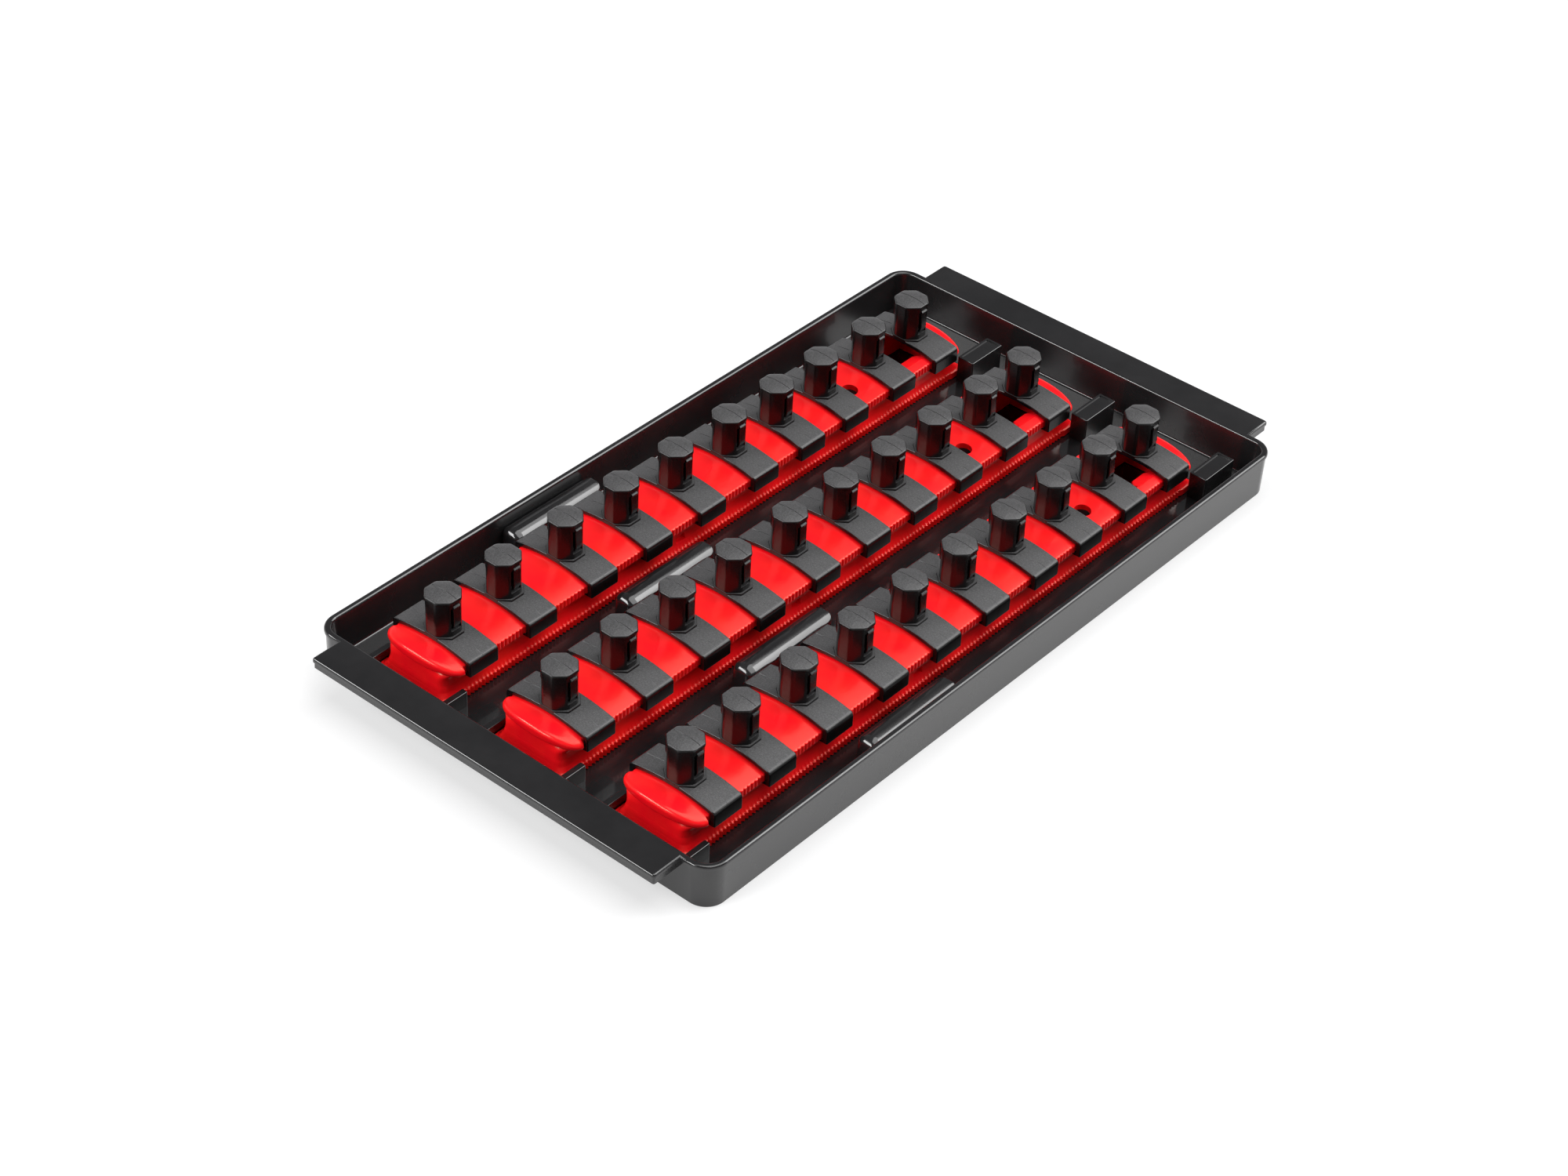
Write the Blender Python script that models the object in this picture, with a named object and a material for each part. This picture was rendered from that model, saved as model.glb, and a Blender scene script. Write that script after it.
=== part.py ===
# Socket tray: a shallow moulded tray that holds three arched rails side by side.
# Ten clips slide along each rail, and each clip carries one upright octagonal drive post.
# Lengths are in metres. X runs across the rails, Y along them, Z up from the table.

import math

import bmesh
import bpy
from mathutils import Vector

# Tray outline and walls
TRAY_HALF_WIDTH = 0.0885
TRAY_HALF_LENGTH = 0.1560
TRAY_HEIGHT = 0.0175
TRAY_CORNER_RADIUS = 0.0084
RIM_WIDTH = 0.0026
BEAD_OVERHANG = 0.00045
BEAD_HEIGHT = 0.0016
EDGE_ROUNDING = 0.0005
OUTER_DRAFT = 0.0012
INNER_DRAFT = 0.0009
FLOOR_HEIGHT = 0.0023
FLOOR_THICKNESS = 0.0018
FLOOR_FILLET = 0.0008
SKIRT_THICKNESS = 0.0020
SHARP_CORNER_RADIUS = 0.0003

# Handle flange at each end of the tray, open underneath
FLANGE_SIDE_GAP = 0.0120
FLANGE_REACH = 0.0120
FLANGE_LIP_DROP = 0.0043
FLANGE_THICKNESS = 0.0020
FLANGE_LIP_THICKNESS = 0.0018
FLANGE_CORNER_RADIUS = 0.0012
FLANGE_ROOT = 0.0018

# Guides moulded on the tray floor beside each rail: two near ledges, one far label block
LEDGE_WIDTH = 0.0025
LEDGE_HEIGHT = 0.0060
LEDGE_REACH = 0.0163
LEDGE_CORNER_RADIUS = 0.0006
LABEL_SIDE_GAP = 0.0011
LABEL_WIDTH = 0.0073
LABEL_LENGTH = 0.0181
LABEL_HEIGHT = 0.0106
LABEL_FAR_GAP = 0.0088
LABEL_EDGE = 0.0003
LABEL_RECESS_BORDER = 0.0010
LABEL_RECESS_DEPTH = 0.0004

# Raised bars on the tray floor, between the rails and against the side walls
RIDGE_WIDTH_SHARE = 0.488
RIDGE_HEIGHT = 0.0116
RIDGE_DRAFT = 0.0008
RIDGE_LENGTH = 0.0450
RIDGE_CENTRE_SHARE = 0.32
RIDGE_CORNER_SHARE = 0.642
RIDGE_TOP_ROUNDING = 0.0008

# Rail: arched top plate over a web that flares out to a foot as wide as the plate
RAIL_PITCH_SHARE = 0.6068
RAIL_HEIGHT = 0.0162
RAIL_SEAT_GAP = 0.0003
RAIL_HALF_WIDTH = 0.0160
RAIL_ARCH_RADIUS = 0.0640
RAIL_PLATE_THICKNESS = 0.0021
RAIL_OVERHANG_DEPTH = 0.0050
RAIL_WEB_HALF_WIDTH = 0.0132
RAIL_WALL = 0.0016
RAIL_FOOT_THICKNESS = 0.0022
FOOT_FLARE_HEIGHT = 0.0076
FOOT_FLARE_STEP = 0.0003
RAIL_FLARE_HALF_WIDTH = 0.0174
RAIL_FLARE_STEP = 0.0002
RAIL_NEAR_GAP = 0.0092
NOSE_FLARE_LENGTH = 0.0078
NOSE_SWEEP = 0.0062
NOSE_SETBACK = 0.0010
RAIL_FAR_GAP = 0.0231
TAIL_FLARE_LENGTH = 0.0052
TAIL_SWEEP = 0.0042
TAIL_SETBACK = 0.0003
SWEEP_POWER = 4
WEB_CORNER_RADIUS = 0.0030

# Openings in the rail's top plate
HOLE_RADIUS = 0.0031
HOLE_OFFSET = 0.0066
HOLE_TO_TAIL = 0.0560
WINDOW_HALF_WIDTH = 0.0120
WINDOW_LENGTH = 0.0220
WINDOW_TO_TAIL = 0.0126
WINDOW_CORNER_RADIUS = 0.0010
WINDOW_WEB_CUT = 0.0023
LUG_TIP = 0.0075
LUG_LENGTH = 0.0120
LUG_CHAMFER = 0.0024
LUG_THICKNESS = 0.0014
LUG_DROP = 0.0013
LUG_ROOT = 0.0004
LUG_STEP = 0.0001

# Clip: saddle that wraps the rail's top plate
CLIP_GAP = 0.0003
CLIP_NEAR_REACH = 0.0062
CLIP_FAR_REACH = 0.0072
CLIP_THICKNESS = 0.0015
CLIP_ARCH_RADIUS = 0.0780
CLIP_SKIRT_THICKNESS = 0.0020
CLIP_LIP_HEIGHT = 0.0010
CLIP_LIP_REACH = 0.0021
CLIP_EDGE = 0.0007

# Drive post on the clip
POST_ACROSS_FLATS = 0.0124
POST_HEIGHT = 0.0156
CAP_HEIGHT = 0.0016
CAP_DOME = 0.0004
CAP_DOME_INSET = 0.0012
COLLAR_WIDTH = 0.0006
COLLAR_RISE = 0.0003
TONGUE_HALF_WIDTH = 0.0015
TONGUE_SLOT = 0.0006
TONGUE_THICKNESS = 0.0010
TONGUE_BUMP = 0.0006
TONGUE_TOP_DROP = 0.0014
TONGUE_LENGTH = 0.0086
POCKET_FOOT_RISE = 0.0023
FIN_HALF_WIDTH = 0.0021
FIN_THICKNESS = 0.0011
FIN_LENGTH = 0.0070
FIN_PROUD = 0.0005
FIN_RECESS = 0.0011
FIN_TIP = 0.0006

# Places of the ten posts along each rail, as shares of the straight track's length
CLIP_PLACE_SHARES = {
    "left": (0.0273, 0.1354, 0.2501, 0.3572, 0.4646, 0.5736, 0.6730, 0.7683, 0.8738, 0.9702),
    "middle": (0.0252, 0.1323, 0.2409, 0.3491, 0.4608, 0.5658, 0.6665, 0.7664, 0.8696, 0.9683),
    "right": (0.0291, 0.1300, 0.2386, 0.3499, 0.4574, 0.5606, 0.6658, 0.7652, 0.8681, 0.9679),
}

# Numbers of flat steps along each curve
CORNER_STEPS = 8
BLOCK_CORNER_STEPS = 2
RIDGE_CORNER_STEPS = 4
EDGE_STEPS = 2
ARCH_STEPS = 8
CLIP_ARCH_STEPS = 6
FLARE_STEPS = 5
END_STEPS = 12
HOLE_STEPS = 20

# Length by which a cutting or joining shape runs past the face that it meets
OVERRUN = 0.0010

# Levels and places worked out from the sizes above
RAIL_PITCH = RAIL_PITCH_SHARE * TRAY_HALF_WIDTH
RIDGE_HALF_WIDTH = RIDGE_WIDTH_SHARE * (RAIL_PITCH / 2 - RAIL_HALF_WIDTH)
RIDGE_CORNER_RADIUS = RIDGE_CORNER_SHARE * RIDGE_HALF_WIDTH
FLANGE_HALF_WIDTH = TRAY_HALF_WIDTH - FLANGE_SIDE_GAP
INNER_HALF_WIDTH = TRAY_HALF_WIDTH - RIM_WIDTH
INNER_HALF_LENGTH = TRAY_HALF_LENGTH - RIM_WIDTH
RAIL_BASE = FLOOR_HEIGHT + RAIL_SEAT_GAP
RAIL_CROWN = RAIL_BASE + RAIL_HEIGHT
OVERHANG_LEVEL = RAIL_CROWN - RAIL_OVERHANG_DEPTH
FOOT_TOP = RAIL_BASE + RAIL_FOOT_THICKNESS
LEDGE_INNER = RAIL_HALF_WIDTH + RAIL_SEAT_GAP
LEDGE_END = -INNER_HALF_LENGTH + LEDGE_REACH
LABEL_INNER = RAIL_HALF_WIDTH + LABEL_SIDE_GAP
NOSE_FRONT = -INNER_HALF_LENGTH + RAIL_NEAR_GAP
TAIL_END = INNER_HALF_LENGTH - RAIL_FAR_GAP
TRACK_NEAR = NOSE_FRONT + NOSE_FLARE_LENGTH
TRACK_FAR = TAIL_END - TAIL_FLARE_LENGTH
CLIP_CROWN = RAIL_CROWN + CLIP_GAP + CLIP_THICKNESS
CLIP_INNER_HALF_WIDTH = RAIL_HALF_WIDTH + CLIP_GAP
CLIP_HALF_WIDTH = CLIP_INNER_HALF_WIDTH + CLIP_SKIRT_THICKNESS
CLIP_LIP_TOP = OVERHANG_LEVEL - CLIP_GAP
CLIP_BASE = CLIP_LIP_TOP - CLIP_LIP_HEIGHT
POST_TOP = CLIP_CROWN + POST_HEIGHT
RAIL_PLACES = {"left": -RAIL_PITCH, "middle": 0.0, "right": RAIL_PITCH}


def clear_scene():
    for old in list(bpy.data.objects):
        bpy.data.objects.remove(old, do_unlink=True)


def new_collection(name):
    made = bpy.data.collections.new(name)
    bpy.context.scene.collection.children.link(made)
    return made


def plastic(name, colour, roughness):
    made = bpy.data.materials.new(name)
    made.use_nodes = True
    shader = made.node_tree.nodes["Principled BSDF"]
    shader.inputs["Base Color"].default_value = (*colour, 1.0)
    shader.inputs["Roughness"].default_value = roughness
    shader.inputs["Metallic"].default_value = 0.0
    return made


def finish_mesh(bm, name, collection):
    bmesh.ops.recalc_face_normals(bm, faces=bm.faces)
    mesh = bpy.data.meshes.new(name)
    bm.to_mesh(mesh)
    bm.free()
    made = bpy.data.objects.new(name, mesh)
    collection.objects.link(made)
    return made


def rounded_rectangle(half_x, half_y, radius, level, centre=(0.0, 0.0), steps=BLOCK_CORNER_STEPS):
    # One closed ring of points, anticlockwise from the +X side.
    radius = max(radius, SHARP_CORNER_RADIUS)
    ring = []
    for quarter, (side_x, side_y) in enumerate(((1, 1), (-1, 1), (-1, -1), (1, -1))):
        for step in range(steps + 1):
            angle = (quarter + step / steps) * math.pi / 2
            x = centre[0] + side_x * (half_x - radius) + radius * math.cos(angle)
            y = centre[1] + side_y * (half_y - radius) + radius * math.sin(angle)
            ring.append(Vector((x, y, level)))
    return ring


def loft(bm, rings):
    # Skin between rings of equal length, closed by a flat face on the first and the last.
    rows = [[bm.verts.new(point) for point in ring] for ring in rings]
    bm.faces.new(rows[0])
    bm.faces.new(rows[-1])
    for low, high in zip(rows, rows[1:]):
        for here in range(len(low)):
            after = (here + 1) % len(low)
            bm.faces.new((low[here], low[after], high[after], high[here]))


def prism_up(bm, outline, low, high):
    # Outline in X and Y, drawn up from level low to level high; both may depend on x.
    bottom = [Vector((x, y, low(x) if callable(low) else low)) for x, y in outline]
    top = [Vector((x, y, high(x) if callable(high) else high)) for x, y in outline]
    loft(bm, (bottom, top))


def prism_along(bm, section, near, far):
    # Section in X and Z, drawn along Y from near to far.
    loft(bm, [[Vector((x, y, z)) for x, z in section] for y in (near, far)])


def quarter_round(centre, radius, start, steps=EDGE_STEPS):
    # Points of a quarter circle that turns anticlockwise from the start quarter.
    points = []
    for step in range(steps + 1):
        angle = (start + step / steps) * math.pi / 2
        points.append((centre[0] + radius * math.cos(angle), centre[1] + radius * math.sin(angle)))
    return points


def arch(x, crown, radius):
    # Height of an arched surface at a distance x from its centre line.
    return crown - radius + math.sqrt(radius * radius - x * x)


def spaced(start, end, steps):
    return [start + (end - start) * step / steps for step in range(steps + 1)]


def clip_outline(outline, normal, reach):
    # The part of a convex outline whose distance along the normal is at most reach.
    kept = []
    for here, after in zip(outline, outline[1:] + outline[:1]):
        gap_here = here[0] * normal[0] + here[1] * normal[1] - reach
        gap_after = after[0] * normal[0] + after[1] * normal[1] - reach
        if gap_here <= 0:
            kept.append(here)
        if gap_here * gap_after < 0:
            share = gap_here / (gap_here - gap_after)
            kept.append(tuple(a + share * (b - a) for a, b in zip(here, after)))
    return kept


def octagon(across_flats):
    # Regular octagon with flats facing X, Y and the diagonals.
    reach = across_flats / 2 / math.cos(math.pi / 8)
    angles = [(turn + 0.5) * math.pi / 4 for turn in range(8)]
    return [(reach * math.cos(angle), reach * math.sin(angle)) for angle in angles]


def combine(target, other, operation):
    change = target.modifiers.new(f"{operation.lower()}_{other.name}", "BOOLEAN")
    change.operation = operation
    change.object = other
    change.solver = "EXACT"
    other.hide_render = True
    other.display_type = "WIRE"


def baked_mesh(source, name):
    # One plain mesh with the source's modifiers worked in.
    depsgraph = bpy.context.evaluated_depsgraph_get()
    mesh = bpy.data.meshes.new_from_object(source.evaluated_get(depsgraph))
    mesh.name = name
    return mesh


def shade(mesh, material):
    mesh.materials.clear()
    mesh.materials.append(material)
    mesh.shade_smooth()
    mesh.set_sharp_from_angle(angle=math.radians(30))


def rim_profile():
    # Bead and rounded top edge shared by the rim and the flanges: inset from the edge, level.
    bead_low = TRAY_HEIGHT - BEAD_HEIGHT
    outer = [(BEAD_OVERHANG, bead_low), (0.0, bead_low)]
    turn = quarter_round((EDGE_ROUNDING, TRAY_HEIGHT - EDGE_ROUNDING), EDGE_ROUNDING, 1)
    return outer + turn[::-1]


def add_tray_body(bm):
    # Outer wall, rim, inner wall and floor, as one profile carried round the outline.
    under_floor = FLOOR_HEIGHT - FLOOR_THICKNESS
    wall_foot = BEAD_OVERHANG + OUTER_DRAFT
    skirt = wall_foot + SKIRT_THICKNESS
    floor_edge = RIM_WIDTH + INNER_DRAFT
    inner_top = quarter_round((RIM_WIDTH - EDGE_ROUNDING, TRAY_HEIGHT - EDGE_ROUNDING), EDGE_ROUNDING, 0)
    fillet = quarter_round((floor_edge + FLOOR_FILLET, FLOOR_HEIGHT + FLOOR_FILLET), FLOOR_FILLET, 2)
    profile = [(skirt, under_floor), (skirt, 0.0), (wall_foot, 0.0)]
    profile += rim_profile() + inner_top[::-1] + fillet
    rings = []
    for inset, level in profile:
        half_x = TRAY_HALF_WIDTH - inset
        half_y = TRAY_HALF_LENGTH - inset
        radius = TRAY_CORNER_RADIUS - inset
        rings.append(rounded_rectangle(half_x, half_y, radius, level, steps=CORNER_STEPS))
    loft(bm, rings)


def add_flange(bm, end, profile, root):
    # Slab behind an end wall, all four sides of which follow a profile of inset and level.
    half_depth = (TRAY_HALF_LENGTH + FLANGE_REACH - root) / 2
    centre = (0.0, end * (root + half_depth))
    rings = []
    for inset, level in profile:
        half_size = (FLANGE_HALF_WIDTH - inset, half_depth - inset)
        rings.append(rounded_rectangle(*half_size, FLANGE_CORNER_RADIUS - inset, level, centre))
    loft(bm, rings)


def add_flange_slab(bm, end):
    # The slab's inner side lies within the flat top of the rim.
    profile = [(BEAD_OVERHANG, TRAY_HEIGHT - FLANGE_LIP_DROP)] + rim_profile()
    add_flange(bm, end, profile, TRAY_HALF_LENGTH - FLANGE_ROOT)


def add_flange_hollow(bm, end):
    # Space under the plate, inside the turned-down lip, open towards the end wall.
    lip_inner = BEAD_OVERHANG + FLANGE_LIP_THICKNESS
    low = TRAY_HEIGHT - FLANGE_LIP_DROP - OVERRUN
    profile = [(lip_inner, low), (lip_inner, TRAY_HEIGHT - FLANGE_THICKNESS)]
    add_flange(bm, end, profile, TRAY_HALF_LENGTH - FLANGE_ROOT - lip_inner - OVERRUN)


def add_block(bm, half_x, half_y, centre, height, radius, draft, edge, steps=BLOCK_CORNER_STEPS):
    # Upright block on the tray floor: drafted sides, then a rounded or bevelled top edge.
    top = FLOOR_HEIGHT + height
    profile = [(0.0, FLOOR_HEIGHT - FLOOR_THICKNESS / 2), (0.0, FLOOR_HEIGHT)]
    profile += quarter_round((draft + edge, top - edge), edge, 1)[::-1]
    rings = []
    for inset, level in profile:
        half_size = (half_x - inset, half_y - inset)
        rings.append(rounded_rectangle(*half_size, radius - inset, level, centre, steps))
    loft(bm, rings)


def add_guides(bm, rail_x):
    # A ledge at each side of a rail's nose, and the label block at the right of its tail.
    root = -INNER_HALF_LENGTH - RIM_WIDTH / 2
    half_x = LEDGE_WIDTH / 2
    half_y = (LEDGE_END - root) / 2
    for side in (-1, 1):
        centre = (rail_x + side * (LEDGE_INNER + half_x), root + half_y)
        add_block(bm, half_x, half_y, centre, LEDGE_HEIGHT, LEDGE_CORNER_RADIUS, 0.0, LABEL_EDGE)
    centre = label_centre(rail_x)
    half_size = (LABEL_WIDTH / 2, LABEL_LENGTH / 2)
    add_block(bm, *half_size, centre, LABEL_HEIGHT, LEDGE_CORNER_RADIUS, 0.0, LABEL_EDGE)


def label_centre(rail_x):
    return rail_x + LABEL_INNER + LABEL_WIDTH / 2, INNER_HALF_LENGTH - LABEL_FAR_GAP - LABEL_LENGTH / 2


def add_ridge(bm, centre_x):
    centre = (centre_x, -RIDGE_CENTRE_SHARE * INNER_HALF_LENGTH)
    half_size = (RIDGE_HALF_WIDTH, RIDGE_LENGTH / 2)
    shape = (RIDGE_HEIGHT, RIDGE_CORNER_RADIUS, RIDGE_DRAFT, RIDGE_TOP_ROUNDING)
    add_block(bm, *half_size, centre, *shape, RIDGE_CORNER_STEPS)


def ridge_places():
    # Midway between neighbouring rails, and against the wall outside the outer rails.
    between = RAIL_PITCH / 2
    outside = INNER_HALF_WIDTH - RIDGE_HALF_WIDTH + RIDGE_DRAFT / 2
    return (-outside, -between, between, outside)


def build_tray(parts, cutters, material):
    bm = bmesh.new()
    add_tray_body(bm)
    tray = finish_mesh(bm, "tray", parts)

    bm = bmesh.new()
    for end in (-1, 1):
        add_flange_slab(bm, end)
    flanges = finish_mesh(bm, "tray_flanges", cutters)
    bm = bmesh.new()
    for end in (-1, 1):
        add_flange_hollow(bm, end)
    combine(flanges, finish_mesh(bm, "flange_hollows", cutters), "DIFFERENCE")
    combine(tray, flanges, "UNION")

    bm = bmesh.new()
    for rail_x in RAIL_PLACES.values():
        add_guides(bm, rail_x)
    for centre_x in ridge_places():
        add_ridge(bm, centre_x)
    combine(tray, finish_mesh(bm, "floor_mouldings", cutters), "UNION")

    bm = bmesh.new()
    for rail_x in RAIL_PLACES.values():
        half_x = LABEL_WIDTH / 2 - LABEL_RECESS_BORDER
        half_y = LABEL_LENGTH / 2 - LABEL_RECESS_BORDER
        top = FLOOR_HEIGHT + LABEL_HEIGHT
        levels = (top - LABEL_RECESS_DEPTH, top + OVERRUN)
        centre = label_centre(rail_x)
        loft(bm, [rounded_rectangle(half_x, half_y, LEDGE_CORNER_RADIUS, z, centre) for z in levels])
    recesses = finish_mesh(bm, "label_recesses", cutters)
    combine(tray, recesses, "DIFFERENCE")
    shade(tray.data, material)


def rail_top(x):
    return arch(x, RAIL_CROWN, RAIL_ARCH_RADIUS)


def rail_ceiling(x):
    return arch(x, RAIL_CROWN - RAIL_PLATE_THICKNESS, RAIL_ARCH_RADIUS - RAIL_PLATE_THICKNESS)


def swept_end(half_width, tip, setback, depth):
    # Plan outline of a rounded rail end: nearly flat in the middle, swept back at both sides.
    points = []
    for angle in spaced(0.0, math.pi, END_STEPS):
        swing = abs(math.cos(angle)) ** SWEEP_POWER
        x = half_width * math.cos(angle)
        y = tip + setback + (depth - setback) * swing - setback * math.sin(angle)
        points.append((x, y))
    return points


def plate_outline():
    # Top plate seen from above: straight track with a wider rounded flare at each end.
    near = swept_end(RAIL_FLARE_HALF_WIDTH, NOSE_FRONT, NOSE_SETBACK, NOSE_SWEEP)
    tail = swept_end(RAIL_FLARE_HALF_WIDTH, -TAIL_END, TAIL_SETBACK, TAIL_SWEEP)
    track = [
        (-RAIL_FLARE_HALF_WIDTH, TRACK_NEAR),
        (-RAIL_HALF_WIDTH, TRACK_NEAR + RAIL_FLARE_STEP),
        (-RAIL_HALF_WIDTH, TRACK_FAR - RAIL_FLARE_STEP),
        (-RAIL_FLARE_HALF_WIDTH, TRACK_FAR),
    ]
    far = [(x, -y) for x, y in tail[::-1]]
    return near + track + far + [(-x, y) for x, y in track[::-1]]


def arch_section():
    # Everything under the arched top surface, wider and deeper than the rail.
    half_width = RAIL_FLARE_HALF_WIDTH + OVERRUN
    top = [(x, rail_top(x)) for x in spaced(half_width, -half_width, ARCH_STEPS)]
    return top + [(-half_width, RAIL_BASE - OVERRUN), (half_width, RAIL_BASE - OVERRUN)]


def add_web(bm, web_near, web_far):
    # Straight web under the plate, flaring out on all four sides in a hollow curve to the foot.
    reach = RAIL_HALF_WIDTH - RAIL_WEB_HALF_WIDTH
    profile = [(reach, RAIL_BASE), (reach, FOOT_TOP)]
    for step in range(FLARE_STEPS + 1):
        angle = step / FLARE_STEPS * math.pi / 2
        flare = (reach - FOOT_FLARE_STEP) * (1 - math.sin(angle))
        profile.append((flare, FOOT_TOP + FOOT_FLARE_HEIGHT * (1 - math.cos(angle))))
    profile.append((0.0, RAIL_CROWN + OVERRUN))
    centre = (0.0, (web_near + web_far) / 2)
    rings = []
    for flare, level in profile:
        half_size = (RAIL_WEB_HALF_WIDTH + flare, (web_far - web_near) / 2 + flare)
        rings.append(rounded_rectangle(*half_size, WEB_CORNER_RADIUS, level, centre))
    loft(bm, rings)


def cavity_section():
    half_width = RAIL_WEB_HALF_WIDTH - RAIL_WALL
    top = [(x, rail_ceiling(x)) for x in spaced(half_width, -half_width, ARCH_STEPS)]
    return top + [(-half_width, RAIL_BASE - OVERRUN), (half_width, RAIL_BASE - OVERRUN)]


def lug_outline(side):
    # Snap lug seen from above: a tab with its two free corners cut off.
    middle = window_centre()
    root = WINDOW_HALF_WIDTH + LUG_ROOT
    outline = []
    for end in (-1, 1):
        tip = (LUG_TIP, middle + end * (LUG_LENGTH / 2 - LUG_CHAMFER))
        shoulder = (LUG_TIP + LUG_CHAMFER, middle + end * LUG_LENGTH / 2)
        corner = (root, middle + end * LUG_LENGTH / 2)
        outline += [corner, shoulder, tip][::-end]
    return [(side * x, y) for x, y in outline]


def lug_top(x):
    # Slopes down from the plate's surface at the window edge to the lug's tip.
    share = (WINDOW_HALF_WIDTH - abs(x)) / (WINDOW_HALF_WIDTH - LUG_TIP)
    return rail_top(WINDOW_HALF_WIDTH) - LUG_STEP - LUG_DROP * share


def lug_base(x):
    return lug_top(x) - LUG_THICKNESS


def window_centre():
    return TAIL_END - WINDOW_TO_TAIL - WINDOW_LENGTH / 2


def build_rail_mesh(cutters, material):
    bm = bmesh.new()
    prism_up(bm, plate_outline(), OVERHANG_LEVEL, RAIL_CROWN + OVERRUN)
    rail = finish_mesh(bm, "rail_plate", cutters)

    bm = bmesh.new()
    web_near = NOSE_FRONT + NOSE_SETBACK
    web_far = TAIL_END - NOSE_SETBACK
    add_web(bm, web_near, web_far)
    combine(rail, finish_mesh(bm, "rail_web", cutters), "UNION")

    bm = bmesh.new()
    prism_along(bm, arch_section(), NOSE_FRONT - OVERRUN, TAIL_END + OVERRUN)
    combine(rail, finish_mesh(bm, "rail_arch", cutters), "INTERSECT")

    bm = bmesh.new()
    prism_along(bm, cavity_section(), web_near + RAIL_WALL, web_far - RAIL_WALL)
    combine(rail, finish_mesh(bm, "rail_cavity", cutters), "DIFFERENCE")

    bm = bmesh.new()
    hole_y = TAIL_END - HOLE_TO_TAIL
    circle = [(turn / HOLE_STEPS) * 2 * math.pi for turn in range(HOLE_STEPS)]
    hole = [(HOLE_OFFSET + HOLE_RADIUS * math.cos(a), hole_y + HOLE_RADIUS * math.sin(a)) for a in circle]
    prism_up(bm, hole, OVERHANG_LEVEL, RAIL_CROWN + OVERRUN)
    window_rings = []
    for level in (rail_top(WINDOW_HALF_WIDTH) - WINDOW_WEB_CUT, RAIL_CROWN + OVERRUN):
        half_size = (WINDOW_HALF_WIDTH, WINDOW_LENGTH / 2)
        centre = (0.0, window_centre())
        window_rings.append(rounded_rectangle(*half_size, WINDOW_CORNER_RADIUS, level, centre))
    loft(bm, window_rings)
    combine(rail, finish_mesh(bm, "rail_openings", cutters), "DIFFERENCE")

    bm = bmesh.new()
    for side in (-1, 1):
        prism_up(bm, lug_outline(side), lug_base, lug_top)
    combine(rail, finish_mesh(bm, "rail_lugs", cutters), "UNION")

    mesh = baked_mesh(rail, "rail")
    shade(mesh, material)
    rail.hide_render = True
    rail.display_type = "WIRE"
    return mesh


def clip_top(x):
    return arch(x, CLIP_CROWN, CLIP_ARCH_RADIUS)


def saddle_section():
    # C-shaped section: arched plate, two skirts, and lips that hook under the rail's overhang.
    inner_radius = RAIL_ARCH_RADIUS + CLIP_GAP
    shoulder = CLIP_HALF_WIDTH - CLIP_EDGE
    outer = [(x, clip_top(x)) for x in spaced(0.0, shoulder, CLIP_ARCH_STEPS // 2)]
    lip_inner = CLIP_INNER_HALF_WIDTH - CLIP_LIP_REACH
    skirt = [
        (CLIP_HALF_WIDTH, clip_top(shoulder) - CLIP_EDGE),
        (CLIP_HALF_WIDTH, CLIP_BASE),
        (lip_inner, CLIP_BASE),
        (lip_inner, CLIP_LIP_TOP),
        (CLIP_INNER_HALF_WIDTH, CLIP_LIP_TOP),
    ]
    under = []
    for x in spaced(CLIP_INNER_HALF_WIDTH, 0.0, CLIP_ARCH_STEPS // 2):
        under.append((x, arch(x, RAIL_CROWN + CLIP_GAP, inner_radius)))
    right = outer + skirt + under
    left = [(-x, z) for x, z in right[-2:0:-1]]
    return right + left


def post_outline():
    # Octagon whose -X side is set back behind the fin.
    outline = octagon(POST_ACROSS_FLATS)
    return clip_outline(outline, (-1, 0), POST_ACROSS_FLATS / 2 - FIN_RECESS)


def add_cap(bm):
    # Full octagon with a low dome on top.
    outline = octagon(POST_ACROSS_FLATS)
    dome = octagon(POST_ACROSS_FLATS - 2 * CAP_DOME_INSET)
    low = POST_TOP - CAP_DOME - CAP_HEIGHT
    levels = ((outline, low), (outline, POST_TOP - CAP_DOME), (dome, POST_TOP))
    loft(bm, [[Vector((x, y, z)) for x, y in points] for points, z in levels])


def tongue_section():
    # Sprung tongue on the +X side: rooted at the top, bowed out in the middle, free at the tip.
    face = POST_ACROSS_FLATS / 2
    top = POST_TOP - CAP_DOME - CAP_HEIGHT - TONGUE_TOP_DROP
    inner = face - TONGUE_THICKNESS
    tip = top - TONGUE_LENGTH
    middle = (top + tip) / 2
    return [
        (inner, top + TONGUE_THICKNESS),
        (inner, top - TONGUE_THICKNESS),
        (inner + TONGUE_BUMP / 2, middle),
        (inner, tip),
        (face - TONGUE_THICKNESS / 2, tip),
        (face + TONGUE_BUMP, middle),
        (face + TONGUE_BUMP / 2, top),
        (face, top),
        (face - TONGUE_BUMP / 2, top + TONGUE_THICKNESS),
    ]


def fin_section():
    # Finger on the -X side: hangs from the cap, tapered at its lower end.
    face = POST_ACROSS_FLATS / 2
    outer = face + FIN_PROUD
    inner = outer - FIN_THICKNESS
    top = POST_TOP - CAP_DOME - CAP_HEIGHT
    tip = top - FIN_LENGTH
    return [
        (-face + FIN_THICKNESS, top + CAP_HEIGHT / 2),
        (-face, top + CAP_HEIGHT / 2),
        (-outer, top + CAP_HEIGHT / 4),
        (-outer, tip + 2 * FIN_TIP),
        (-inner - FIN_TIP / 2, tip),
        (-inner, tip),
        (-inner, top - FIN_TIP),
        (-face + FIN_THICKNESS, top - 2 * FIN_TIP),
    ]


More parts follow.
